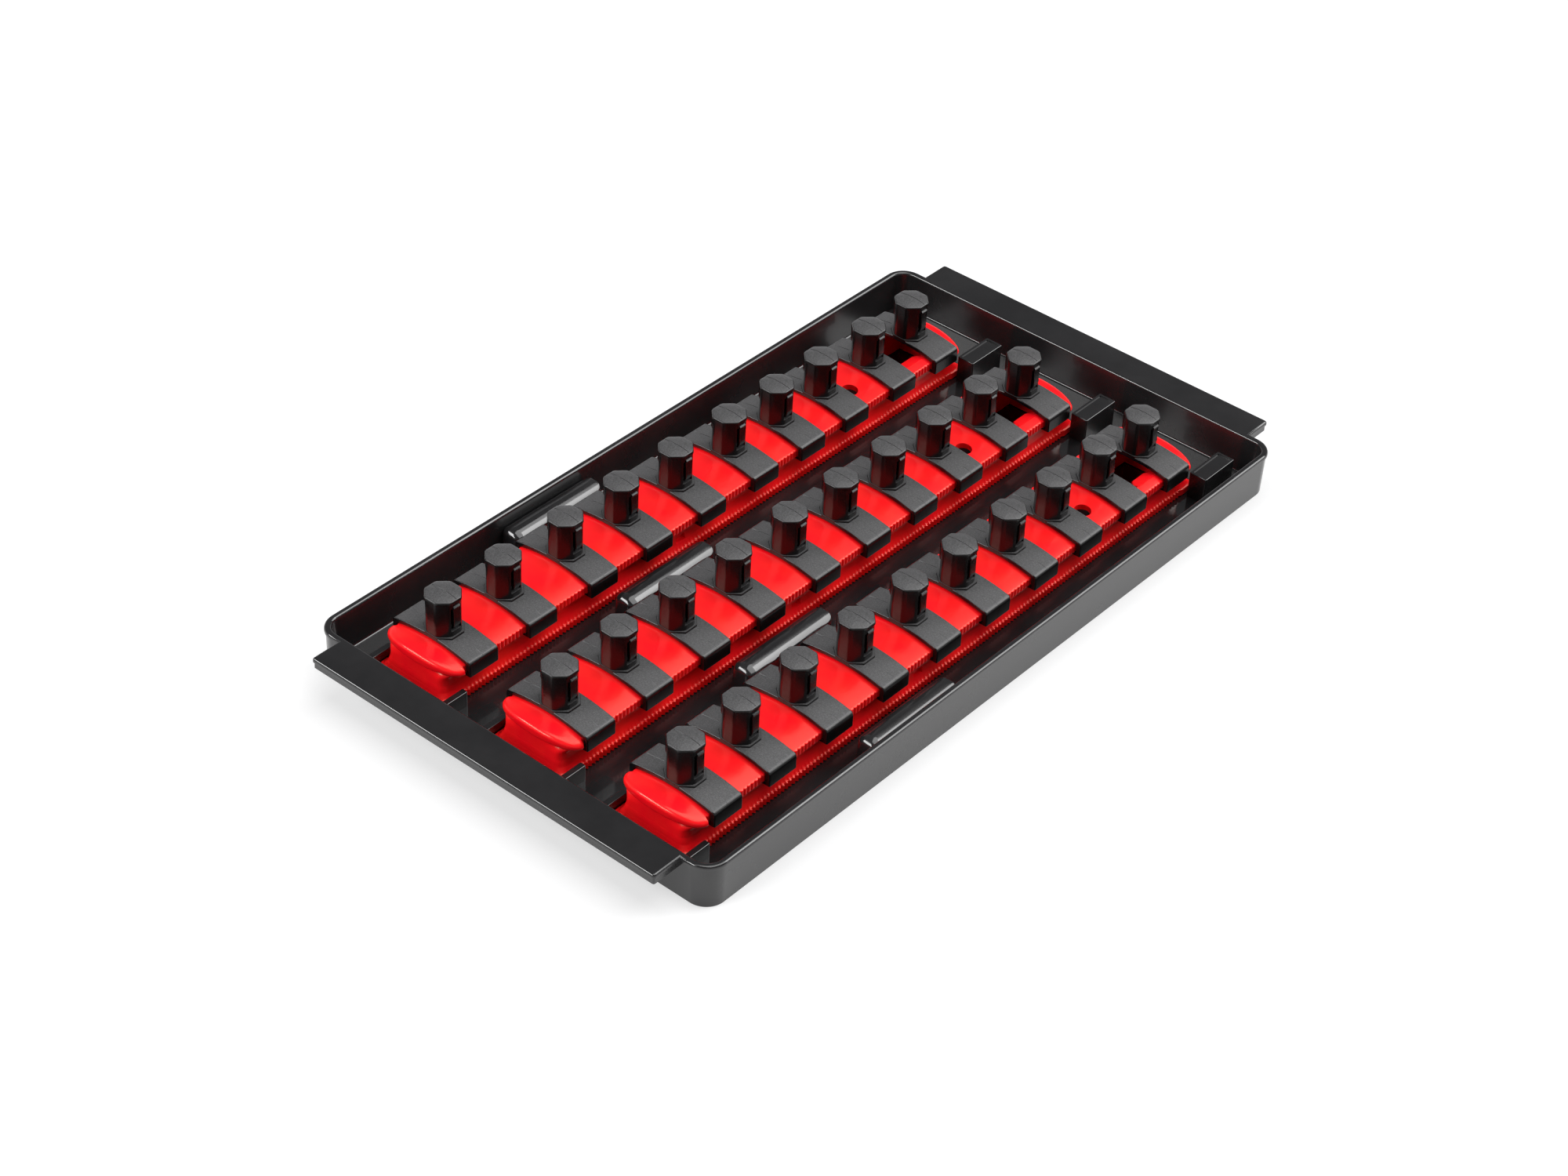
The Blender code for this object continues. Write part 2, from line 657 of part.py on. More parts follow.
def build_clip_mesh(cutters, material):
    bm = bmesh.new()
    prism_along(bm, saddle_section(), -CLIP_NEAR_REACH, CLIP_FAR_REACH)
    clip = finish_mesh(bm, "clip_saddle", cutters)

    bm = bmesh.new()
    plate_middle = CLIP_CROWN - CLIP_THICKNESS / 2
    prism_up(bm, post_outline(), plate_middle, POST_TOP - CAP_DOME - CAP_HEIGHT / 2)
    combine(clip, finish_mesh(bm, "post_core", cutters), "UNION")

    bm = bmesh.new()
    collar = clip_outline(octagon(POST_ACROSS_FLATS + 2 * COLLAR_WIDTH), (0, -1), CLIP_NEAR_REACH)
    prism_up(bm, collar, plate_middle, CLIP_CROWN + COLLAR_RISE)
    combine(clip, finish_mesh(bm, "post_collar", cutters), "UNION")

    bm = bmesh.new()
    add_cap(bm)
    combine(clip, finish_mesh(bm, "post_cap", cutters), "UNION")

    bm = bmesh.new()
    face = POST_ACROSS_FLATS / 2
    tongue_top = POST_TOP - CAP_DOME - CAP_HEIGHT - TONGUE_TOP_DROP
    slot_half = TONGUE_HALF_WIDTH + TONGUE_SLOT
    slot_floor = face - 2 * TONGUE_THICKNESS
    slot = [(slot_floor, -slot_half), (face + OVERRUN, -slot_half)]
    slot += [(x, -y) for x, y in slot[::-1]]
    prism_up(bm, slot, CLIP_CROWN + POCKET_FOOT_RISE, tongue_top)
    combine(clip, finish_mesh(bm, "tongue_slot", cutters), "DIFFERENCE")

    bm = bmesh.new()
    prism_along(bm, tongue_section(), -TONGUE_HALF_WIDTH, TONGUE_HALF_WIDTH)
    prism_along(bm, fin_section(), -FIN_HALF_WIDTH, FIN_HALF_WIDTH)
    combine(clip, finish_mesh(bm, "spring_fingers", cutters), "UNION")

    mesh = baked_mesh(clip, "clip")
    shade(mesh, material)
    clip.hide_render = True
    clip.display_type = "WIRE"
    return mesh


def place(name, mesh, parts, location, parent):
    made = bpy.data.objects.new(name, mesh)
    made.location = location
    made.parent = parent
    parts.objects.link(made)
    return made


def clip_centre(share):
    return TRACK_NEAR + share * (TRACK_FAR - TRACK_NEAR)


def build_socket_tray():
    clear_scene()
    parts = new_collection("socket_rail_tray")
    cutters = new_collection("cutters")
    black_gloss = plastic("tray_black", (0.012, 0.012, 0.013), 0.22)
    red = plastic("rail_red", (0.62, 0.012, 0.016), 0.38)
    black_satin = plastic("clip_black", (0.030, 0.030, 0.032), 0.55)

    build_tray(parts, cutters, black_gloss)
    rail_mesh = build_rail_mesh(cutters, red)
    clip_mesh = build_clip_mesh(cutters, black_satin)
    for side, rail_x in RAIL_PLACES.items():
        rail = place(f"rail_{side}", rail_mesh, parts, (rail_x, 0.0, 0.0), None)
        for number, share in enumerate(CLIP_PLACE_SHARES[side], start=1):
            at = (0.0, clip_centre(share), 0.0)
            place(f"clip_{side}_{number:02d}", clip_mesh, parts, at, rail)


build_socket_tray()
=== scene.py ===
import math

import bmesh
import bpy
from mathutils import Matrix, Vector


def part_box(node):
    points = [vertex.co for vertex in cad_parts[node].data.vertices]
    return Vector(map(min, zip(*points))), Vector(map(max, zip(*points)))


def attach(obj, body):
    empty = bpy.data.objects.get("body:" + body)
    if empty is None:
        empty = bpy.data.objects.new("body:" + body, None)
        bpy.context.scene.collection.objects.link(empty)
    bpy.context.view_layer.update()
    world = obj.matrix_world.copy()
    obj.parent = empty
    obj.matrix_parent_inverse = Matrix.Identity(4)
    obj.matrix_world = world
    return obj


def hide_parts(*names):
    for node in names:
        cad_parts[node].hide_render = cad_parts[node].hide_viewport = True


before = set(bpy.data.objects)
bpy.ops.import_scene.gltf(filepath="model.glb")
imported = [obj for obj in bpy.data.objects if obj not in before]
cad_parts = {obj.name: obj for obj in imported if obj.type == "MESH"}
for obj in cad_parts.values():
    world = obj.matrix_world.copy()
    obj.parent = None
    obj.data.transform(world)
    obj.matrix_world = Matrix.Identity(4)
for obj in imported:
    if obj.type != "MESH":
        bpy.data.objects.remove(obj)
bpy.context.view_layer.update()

mm = 0.001
print("frame loaded:", len(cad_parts), "nodes")


def ringPoints(halfX, halfY, radius, cornerSteps):
    # rounded rectangle, anticlockwise from the +X side
    points = []
    for quarter, (sx, sy) in enumerate(((1, 1), (-1, 1), (-1, -1), (1, -1))):
        for i in range(cornerSteps + 1):
            a = (quarter + i / cornerSteps) * math.pi / 2
            x = sx * (halfX - radius) + radius * math.cos(a)
            y = sy * (halfY - radius) + radius * math.sin(a)
            points.append((x, y))
    return points


def skinRings(bm, rings, caps=True):
    # rings of points in mm, all of one length, joined one after the other
    rows = [[bm.verts.new(Vector(p) * mm) for p in ring] for ring in rings]
    if caps:
        bm.faces.new(rows[0])
        bm.faces.new(rows[-1])
    for low, high in zip(rows, rows[1:]):
        for i in range(len(low)):
            k = (i + 1) % len(low)
            bm.faces.new((low[i], low[k], high[k], high[i]))


def steps(start, end, count):
    return [start + (end - start) * i / count for i in range(count + 1)]


def arc(cx, cz, r, start, end, count):
    # points on a circle, angles in degrees
    return [(cx + r * math.cos(math.radians(a)), cz + r * math.sin(math.radians(a))) for a in steps(start, end, count)]


def archHeight(x, crown, radius):
    return crown - radius + math.sqrt(radius * radius - x * x)


def meshObject(bm, name, weld=0.0):
    if weld:
        bmesh.ops.remove_doubles(bm, verts=bm.verts, dist=weld)
        bmesh.ops.dissolve_degenerate(bm, edges=bm.edges, dist=weld)
    bmesh.ops.recalc_face_normals(bm, faces=bm.faces)
    mesh = bpy.data.meshes.new(name)
    bm.to_mesh(mesh)
    bm.free()
    obj = bpy.data.objects.new(name, mesh)
    bpy.context.scene.collection.objects.link(obj)
    return obj


def bake(obj):
    # work the modifiers into the mesh
    depsgraph = bpy.context.evaluated_depsgraph_get()
    mesh = bpy.data.meshes.new_from_object(obj.evaluated_get(depsgraph))
    obj.modifiers.clear()
    obj.data = mesh
    return obj


def softenEdges(obj, width, segments, angle):
    bevel = obj.modifiers.new("soften", "BEVEL")
    bevel.width = width * mm
    bevel.segments = segments
    bevel.limit_method = "ANGLE"
    bevel.angle_limit = math.radians(angle)
    return bake(obj)


def combine(obj, other, operation):
    change = obj.modifiers.new(operation, "BOOLEAN")
    change.operation = operation
    change.solver = "EXACT"
    change.object = other
    bake(obj)
    bpy.data.objects.remove(other, do_unlink=True)
    return obj


def shadeSmooth(obj, angle=38):
    # smooth shading that leaves the flats flat beside their rounded edges
    obj.data.shade_smooth()
    obj.data.set_sharp_from_angle(angle=math.radians(angle))
    weigh = obj.modifiers.new("weigh", "WEIGHTED_NORMAL")
    weigh.keep_sharp = True
    bake(obj)


def prism(outline, low, high, along="z"):
    # outline drawn along z (points x, y) or along y (points x, z)
    bm = bmesh.new()
    if along == "z":
        skinRings(bm, [[(x, y, z) for x, y in outline] for z in (low, high)])
    else:
        skinRings(bm, [[(x, y, z) for x, z in outline] for y in (low, high)])
    return bm


def dress(obj, material, node, body):
    obj.data.materials.clear()
    obj.data.materials.append(material)
    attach(obj, body)
    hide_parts(node)


# fitted to the photo, in mm, degrees and the photo's pixels
camera = {
    "target": (26.72, -50.20, 35.84),
    "distance": 1072.9,
    "azimuth": 38.79,
    "elevation": 38.07,
    "roll": 3.04,
    "focalPixels": 4117.8,
    "imageWidth": 2000,
    "sensor": 36.0,
}


def makeCamera(c):
    az, el, roll = (math.radians(c[k]) for k in ("azimuth", "elevation", "roll"))
    forward = Vector((-math.sin(az) * math.cos(el), math.cos(az) * math.cos(el), -math.sin(el)))
    right = Vector((math.cos(az), math.sin(az), 0))
    up = right.cross(forward)
    rolledRight = right * math.cos(roll) + up * math.sin(roll)
    rolledUp = up * math.cos(roll) - right * math.sin(roll)
    data = bpy.data.cameras.new("camera")
    data.sensor_fit = "HORIZONTAL"
    data.sensor_width = c["sensor"]
    data.lens = c["focalPixels"] * c["sensor"] / c["imageWidth"]
    data.clip_start = 0.05
    data.clip_end = 50
    obj = bpy.data.objects.new("camera", data)
    spin = Matrix((rolledRight, rolledUp, -forward)).transposed().to_4x4()
    obj.matrix_world = Matrix.Translation((Vector(c["target"]) - forward * c["distance"]) * mm) @ spin
    bpy.context.scene.collection.objects.link(obj)
    bpy.context.scene.camera = obj


makeCamera(camera)
print("camera placed")


def newMaterial(name, color, roughness):
    mat = bpy.data.materials.new(name)
    mat.use_nodes = True
    shader = mat.node_tree.nodes["Principled BSDF"]
    shader.inputs["Base Color"].default_value = (*color, 1)
    shader.inputs["Roughness"].default_value = roughness
    return mat, mat.node_tree, shader


def noise(tree, coords, scale, detail=2.0, rough=0.5):
    node = tree.nodes.new("ShaderNodeTexNoise")
    node.inputs["Scale"].default_value = scale
    node.inputs["Detail"].default_value = detail
    node.inputs["Roughness"].default_value = rough
    tree.links.new(coords, node.inputs["Vector"])
    return node.outputs["Fac"]


def remap(tree, value, low, high, outLow, outHigh):
    node = tree.nodes.new("ShaderNodeMapRange")
    for key, number in (("From Min", low), ("From Max", high), ("To Min", outLow), ("To Max", outHigh)):
        node.inputs[key].default_value = number
    tree.links.new(value, node.inputs["Value"])
    return node.outputs["Result"]


def mixColors(tree, factor, first, second):
    # each of the two is a plain colour or another node's output
    node = tree.nodes.new("ShaderNodeMix")
    node.data_type = "RGBA"
    for key, color in (("A", first), ("B", second)):
        if isinstance(color, tuple):
            node.inputs[key].default_value = (*color, 1)
        else:
            tree.links.new(color, node.inputs[key])
    tree.links.new(factor, node.inputs["Factor"])
    return node.outputs["Result"]


def addBump(tree, shader, height, strength, distance):
    node = tree.nodes.new("ShaderNodeBump")
    node.inputs["Strength"].default_value = strength
    node.inputs["Distance"].default_value = distance * mm
    tree.links.new(height, node.inputs["Height"])
    tree.links.new(node.outputs["Normal"], shader.inputs["Normal"])
    return node


def objectCoords(tree):
    return tree.nodes.new("ShaderNodeTexCoord").outputs["Object"]


def upwardness(tree, low, high):
    # 0 on the piece's sides, 1 on its upward faces
    split = tree.nodes.new("ShaderNodeSeparateXYZ")
    tree.links.new(tree.nodes.new("ShaderNodeTexCoord").outputs["Normal"], split.inputs["Vector"])
    return remap(tree, split.outputs["Z"], low, high, 0, 1)


# scales are noise cells per metre, bump depths are in mm
trayFinish = {
    "color": (0.008, 0.0078, 0.0082), "dust": (0.016, 0.0155, 0.016), "cloudScale": 28,
    "wallRoughness": (0.22, 0.30), "flatRoughness": (0.11, 0.17), "upward": (0.3, 0.8), "ior": 1.5,
    "coat": 0.35, "coatIor": 1.5, "coatRoughness": 0.07, "bumpScale": 900, "bump": 0.02, "bumpDepth": 0.02,
}


def makeTrayMaterial(f):
    mat, tree, shader = newMaterial("glossBlackMoulding", f["color"], f["wallRoughness"][0])
    coords = objectCoords(tree)
    cloud = noise(tree, coords, f["cloudScale"], 4, 0.6)
    color = mixColors(tree, remap(tree, cloud, 0.35, 0.75, 0, 1), f["color"], f["dust"])
    tree.links.new(color, shader.inputs["Base Color"])
    # flat faces are glossier than the drafted walls
    gloss = tree.nodes.new("ShaderNodeMix")
    gloss.data_type = "FLOAT"
    tree.links.new(upwardness(tree, *f["upward"]), gloss.inputs["Factor"])
    tree.links.new(remap(tree, cloud, 0.3, 0.7, *f["wallRoughness"]), gloss.inputs["A"])
    tree.links.new(remap(tree, cloud, 0.3, 0.7, *f["flatRoughness"]), gloss.inputs["B"])
    tree.links.new(gloss.outputs["Result"], shader.inputs["Roughness"])
    shader.inputs["IOR"].default_value = f["ior"]
    shader.inputs["Coat Weight"].default_value = f["coat"]
    shader.inputs["Coat IOR"].default_value = f["coatIor"]
    shader.inputs["Coat Roughness"].default_value = f["coatRoughness"]
    addBump(tree, shader, noise(tree, coords, f["bumpScale"], 2), f["bump"], f["bumpDepth"])
    return mat


railFinish = {
    "color": (0.88, 0.004, 0.011), "worn": (0.94, 0.012, 0.011), "cloudScale": 60, "roughness": (0.21, 0.27),
    "ior": 1.5, "specular": 0.42, "tint": (1.0, 0.85, 0.62), "bumpScale": 2600, "bump": 0.10, "bumpDepth": 0.02,
}


def makeRailMaterial(f):
    mat, tree, shader = newMaterial("satinRedMoulding", f["color"], f["roughness"][0])
    coords = objectCoords(tree)
    cloud = noise(tree, coords, f["cloudScale"], 4, 0.6)
    color = mixColors(tree, remap(tree, cloud, 0.35, 0.7, 0, 1), f["color"], f["worn"])
    tree.links.new(color, shader.inputs["Base Color"])
    tree.links.new(remap(tree, cloud, 0.3, 0.7, *f["roughness"]), shader.inputs["Roughness"])
    shader.inputs["IOR"].default_value = f["ior"]
    shader.inputs["Specular IOR Level"].default_value = f["specular"]
    shader.inputs["Specular Tint"].default_value = (*f["tint"], 1)
    addBump(tree, shader, noise(tree, coords, f["bumpScale"], 3), f["bump"], f["bumpDepth"])
    return mat


# top and side are one plastic: the top colour is painted light from above, the side colour is painted shade
clipFinish = {
    "side": (0.0035, 0.0033, 0.0034), "top": (0.032, 0.0315, 0.032), "speck": (0.085, 0.084, 0.086),
    "upward": (0.84, 0.96), "roughness": (0.25, 0.44), "specular": 0.45, "ior": 1.5,
    "grainScale": 2100, "grain": (0.12, 0.65), "grainDepth": 0.06,
}


def makeClipMaterial(f):
    # upward faces have a coarse satin grain and are painted lighter, as if lit from above; the sides are smooth and
    # painted dark as shade
    mat, tree, shader = newMaterial("grainedBlackMoulding", f["side"], f["roughness"][0])
    coords = objectCoords(tree)
    upward = upwardness(tree, *f["upward"])
    grain = noise(tree, coords, f["grainScale"], 3, 0.8)
    grainWithPaintedLight = mixColors(tree, remap(tree, grain, 0.42, 0.70, 0, 1), f["top"], f["speck"])
    # painted light: the facing mask gives upward faces the lighter grained colour and the sides the painted dark shade
    tree.links.new(mixColors(tree, upward, f["side"], grainWithPaintedLight), shader.inputs["Base Color"])
    tree.links.new(remap(tree, upward, 0, 1, *f["roughness"]), shader.inputs["Roughness"])
    shader.inputs["IOR"].default_value = f["ior"]
    shader.inputs["Specular IOR Level"].default_value = f["specular"]
    bump = addBump(tree, shader, grain, f["grain"][1], f["grainDepth"])
    tree.links.new(remap(tree, upward, 0, 1, *f["grain"]), bump.inputs["Strength"])
    return mat


trayMaterial = makeTrayMaterial(trayFinish)
railMaterial = makeRailMaterial(railFinish)
clipMaterial = makeClipMaterial(clipFinish)
print("materials made")


tray = {
    "halfX": 88.5, "halfY": 156.0, "corner": 8.4, "height": 17.5,
    "rim": 2.6, "rimRound": 0.95, "bead": 1.6, "overhang": 0.45,
    "outerDraft": 0.3, "innerDraft": 0.9, "floor": 2.3, "floorUnder": 0.5, "fillet": 0.8, "skirt": 2.0,
    "rooted": 1.0, "cornerSteps": 20,
}
flange = {"halfX": 76.5, "out": 168.0, "root": 154.2, "plate": 2.0, "lip": 1.8, "drop": 4.3, "corner": 1.2}
bar = {
    "centersX": (-81.0, -26.85, 26.85, 81.0), "centerY": -49.1, "halfX": 5.3, "halfY": 22.5, "height": 11.6,
    "corner": 3.4, "draft": 0.8, "crownRadius": 6.5, "nearRound": 4.2, "spread": 0.999,
}
ledge = {"inner": 16.3, "outer": 18.8, "wallY": -154.7, "endY": -137.1, "top": 8.3, "corner": 0.6, "edge": 0.35}
label = {
    "inner": 17.1, "width": 7.3, "nearY": 126.5, "farY": 144.6, "top": 12.9,
    "corner": 0.5, "edge": 0.3, "border": 1.0, "recess": 0.4, "recessCorner": 0.4,
}
railX = {"left": -53.7, "middle": 0.0, "right": 53.7}


def beadProfile(height):
    # small fillet under the bead, the bead's face and its rounded top, as (inset, z)
    r = tray["rimRound"]
    low = height - tray["bead"]
    fillet = [(0.50, low - 0.12), (0.34, low - 0.03), (0.10, low), (0.02, low + 0.07), (0.0, low + 0.20)]
    return fillet + arc(r, height - r, r, 180, 90, 5)


def trayBody():
    t = tray
    r = t["rimRound"]
    foot = t["overhang"] + t["outerDraft"]
    wallIn = t["rim"] + t["innerDraft"]
    profile = [(foot + t["skirt"], t["floorUnder"]), (foot + t["skirt"], 0.25), (foot + t["skirt"] - 0.25, 0)]
    profile += [(foot + 0.3, 0), (foot + 0.08, 0.08), (foot, 0.3)]
    profile += beadProfile(t["height"])
    profile += arc(t["rim"] - r, t["height"] - r, r, 90, 0, 5)
    profile += arc(wallIn + t["fillet"], t["floor"] + t["fillet"], t["fillet"], 180, 270, 4)
    bm = bmesh.new()
    rings = []
    for inset, z in profile:
        points = ringPoints(t["halfX"] - inset, t["halfY"] - inset, t["corner"] - inset, t["cornerSteps"])
        rings.append([(x, y, z) for x, y in points])
    skinRings(bm, rings)
    return meshObject(bm, "trayShell")


def flangeBlock(end, profile, root):
    # a block behind an end wall, drawn in alike on its four sides
    f = flange
    middle, halfY = (f["out"] + root) / 2, (f["out"] - root) / 2
    rings = []
    for inset, z in profile:
        points = ringPoints(f["halfX"] - inset, halfY - inset, max(f["corner"] - inset, 0.3), 5)
        rings.append([(x, end * (middle + y), z) for x, y in points])
    bm = bmesh.new()
    skinRings(bm, rings)
    return meshObject(bm, "flange")


def flangePlate(end):
    f, h, o = flange, tray["height"], tray["overhang"]
    lipIn = o + f["lip"]
    low = h - f["drop"]
    slab = flangeBlock(end, [(o + 0.25, low), (o, low + 0.25)] + beadProfile(h), f["root"])
    under = [(lipIn - 0.2, low - 1), (lipIn, low + 0.2), (lipIn, h - f["plate"])]
    hollow = flangeBlock(end, under, f["root"] - lipIn - 1)
    return combine(slab, hollow, "DIFFERENCE")


def block(bm, halfX, halfY, radius, center, levels):
    rings = []
    for inset, z in levels:
        points = ringPoints(halfX - inset, halfY - inset, max(radius - inset, 0.15), 5)
        rings.append([(center[0] + x, center[1] + y, z) for x, y in points])
    skinRings(bm, rings)


def floorBar(bm, centerX):
    # round-topped bar with a rounded near end
    b = bar
    top = tray["floor"] + b["height"]

    def crown(x, y):
        drop = b["crownRadius"] - math.sqrt(b["crownRadius"] ** 2 - x * x)
        back = b["nearRound"] - b["draft"] - (b["halfY"] + y - b["draft"])
        if back > 0:
            drop += b["nearRound"] - math.sqrt(max(b["nearRound"] ** 2 - back * back, 0))
        return top - drop

    # each level is (inset, fall below the crown), the last ones close the top
    edge = [(0.72, 0.7), (0.8, 0.35), (0.84, 0.18), (0.94, 0.05), (1.1, 0)]
    levels = edge + [(inset, 0) for inset in (1.5, 2.1, 2.8, 3.5, 4.2, 4.9, 5.2)]
    foot = ringPoints(b["halfX"], b["halfY"], b["corner"], 8)
    rings = []
    for z in (tray["floor"] - tray["rooted"], tray["floor"]):
        rings.append([(centerX + x, b["centerY"] + y, z) for x, y in foot])
    for inset, fall in levels:
        corner = max(b["corner"] - inset * 0.6, 0.05)
        outline = ringPoints(b["halfX"] - inset, b["halfY"] - inset, corner, 8)
        rings.append([(centerX + x, b["centerY"] + y, crown(x * b["spread"], y) - fall) for x, y in outline])
    skinRings(bm, rings)


def floorBlocks():
    low = tray["floor"] - tray["rooted"]
    bm = bmesh.new()
    for x in railX.values():
        e = ledge["edge"]
        halfX = (ledge["outer"] - ledge["inner"]) / 2
        halfY = (ledge["endY"] - ledge["wallY"]) / 2
        levels = [(0, low)] + arc(e, ledge["top"] - e, e, 180, 90, 3)
        for side in (-1, 1):
            center = (x + side * (ledge["inner"] + halfX), ledge["wallY"] + halfY)
            block(bm, halfX, halfY, ledge["corner"], center, levels)
        e = label["edge"]
        halfX, halfY = label["width"] / 2, (label["farY"] - label["nearY"]) / 2
        levels = [(0, low)] + arc(e, label["top"] - e, e, 180, 90, 3)
        block(bm, halfX, halfY, label["corner"], (x + label["inner"] + halfX, label["nearY"] + halfY), levels)
    for x in bar["centersX"]:
        floorBar(bm, x)
    return meshObject(bm, "floorBlocks")


def labelRecesses():
    bm = bmesh.new()
    for x in railX.values():
        halfX, halfY = label["width"] / 2, (label["farY"] - label["nearY"]) / 2
        center = (x + label["inner"] + halfX, label["nearY"] + halfY)
        levels = [(0, label["top"] - label["recess"]), (0, label["top"] + 1)]
        block(bm, halfX - label["border"], halfY - label["border"], label["recessCorner"], center, levels)
    return meshObject(bm, "labelRecesses")


def makeTray():
    shell = trayBody()
    for end in (-1, 1):
        combine(shell, flangePlate(end), "UNION")
    combine(shell, floorBlocks(), "UNION")
    combine(shell, labelRecesses(), "DIFFERENCE")
    shadeSmooth(shell)
    dress(shell, trayMaterial, "tray", "tray")


makeTray()
print("tray built")


rail = {
    "base": 2.6, "crown": 18.8, "archRadius": 64.0, "plate": 2.1, "overhangZ": 13.8,
    "half": 16.0, "flare": 17.4, "webHalf": 13.2, "wall": 1.6,
    "nose": -144.2, "noseDepth": 7.4, "noseWeb": -143.2,
    "tail": 130.3, "tailDepth": 4.5, "tailWeb": 129.3, "endSquareness": 2.15,
    "trackNear": -136.4, "trackFar": 125.1, "webCorner": 3.0,
    "pitch": 1.765, "plateTooth": 0.38, "footTooth": 0.85, "firstTooth": -135.9,
    "footTop": 5.2, "footOut": 2.8, "footFlare": 2.5, "flareTop": 12.4, "flareDrop": 1.5,
    # pairs are (on the track, at the ends)
    "topRound": (0.45, 1.5), "lowRound": (0.25, 0.9), "filletHeight": (0.9, 3.1), "lipRise": 1.1,
    "underFlat": 0.55, "rimSlope": 0.22, "toothInset": 0.25,
}
window = {
    "half": 12.0, "centerY": 106.7, "length": 22.0, "cutDepth": 2.3,
    "lugTip": 7.5, "lugLength": 12.0, "lugChamfer": 2.4, "lugThick": 1.4, "lugDrop": 1.3,
}
hole = {"x": 6.6, "y": 74.3, "radius": 3.1, "low": 13.9}
slot = {"near": -28.9, "far": -24.6, "low": 7.5, "high": 9.7, "depth": 1.3}
overRail = 21.0  # where cuts from above start


def between(pair, share):
    return pair[0] + (pair[1] - pair[0]) * share


def railTop(x):
    return archHeight(x, rail["crown"], rail["archRadius"])


def webEdge(t, out, webEnd, direction, plateY):
    # plan of the web grown outward: t runs across the end, round the corner and along the side
    half, end, corner = rail["webHalf"] + out, webEnd - direction * out, rail["webCorner"]
    if t < 0.5:
        return (half - corner) * t / 0.5, end
    if t < 0.85:
        turn = (t - 0.5) / 0.35 * math.pi / 2
        return half - corner + corner * math.sin(turn), end + direction * corner * (1 - math.cos(turn))
    start = end + direction * corner
    return half, start + (plateY - start) * (t - 0.85) / 0.15


def endStations(tip, depth, webEnd, count=30):
    # super-oval plan of a rail end from its centre line to the side, with its outward normals
    direction = 1 if tip < 0 else -1

    def edge(t):
        a = (1 - t) * math.pi / 2
        power = 2 / rail["endSquareness"]
        return rail["flare"] * max(math.cos(a), 0) ** power, tip + direction * depth * (1 - math.sin(a) ** power)

    stations = []
    for t in steps(0, 1, count):
        x, y = edge(t)
        before, after = edge(max(0.0, t - 0.01)), edge(min(1.0, t + 0.01))
        tangent = Vector((after[0] - before[0], after[1] - before[1])).normalized()
        stations.append({
            "p": (x, y), "n": (direction * tangent.y, -direction * tangent.x),
            "web": lambda out, t=t, y=y: webEdge(t, out, webEnd, direction, y),
            "nose": 1 - t * t, "round": 1.0, "tooth": (0, 0),
        })
    return stations


def trackStation(x, y, tooth=(0, 0), lip=0.0):
    return {
        "p": (x, y), "n": (1, 0), "web": lambda out: (rail["webHalf"] + out, y),
        "nose": 0.0, "round": lip, "tooth": tooth,
    }


def trackStations():
    # straight track: a small step in from the flared ends, then the row of teeth
    r = rail
    near, far, wide = r["trackNear"], r["trackFar"], r["flare"]
    # (distance into the track, half width, roundness of the lip)
    stepIn = [(-0.3, wide - 0.02, 1.0), (-0.16, wide - 0.2, 0.8), (-0.05, wide - 0.6, 0.5)]
    stepIn += [(0, r["half"] + 0.3, 0.2), (0.1, r["half"], 0.0)]
    stations = [trackStation(x, near + y, lip=lip) for y, x, lip in stepIn]
    # one tooth as (share of the pitch, notch in the plate's edge, notch in the foot)
    tooth = [(0.0, 1.0, 1.0), (0.12, 0.45, 0.95), (0.28, 0.12, 0.45)]
    tooth += [(0.5, 0.0, 0.0), (0.72, 0.12, 0.45), (0.88, 0.45, 0.95)]
    start = r["firstTooth"]
    while start + r["pitch"] < far - 0.2:
        for share, bead, comb in tooth:
            notches = (bead * r["plateTooth"], comb * r["footTooth"])
            stations.append(trackStation(r["half"], start + share * r["pitch"], notches))
        start += r["pitch"]
    return stations + [trackStation(x, far - y, lip=lip) for y, x, lip in stepIn[::-1]]


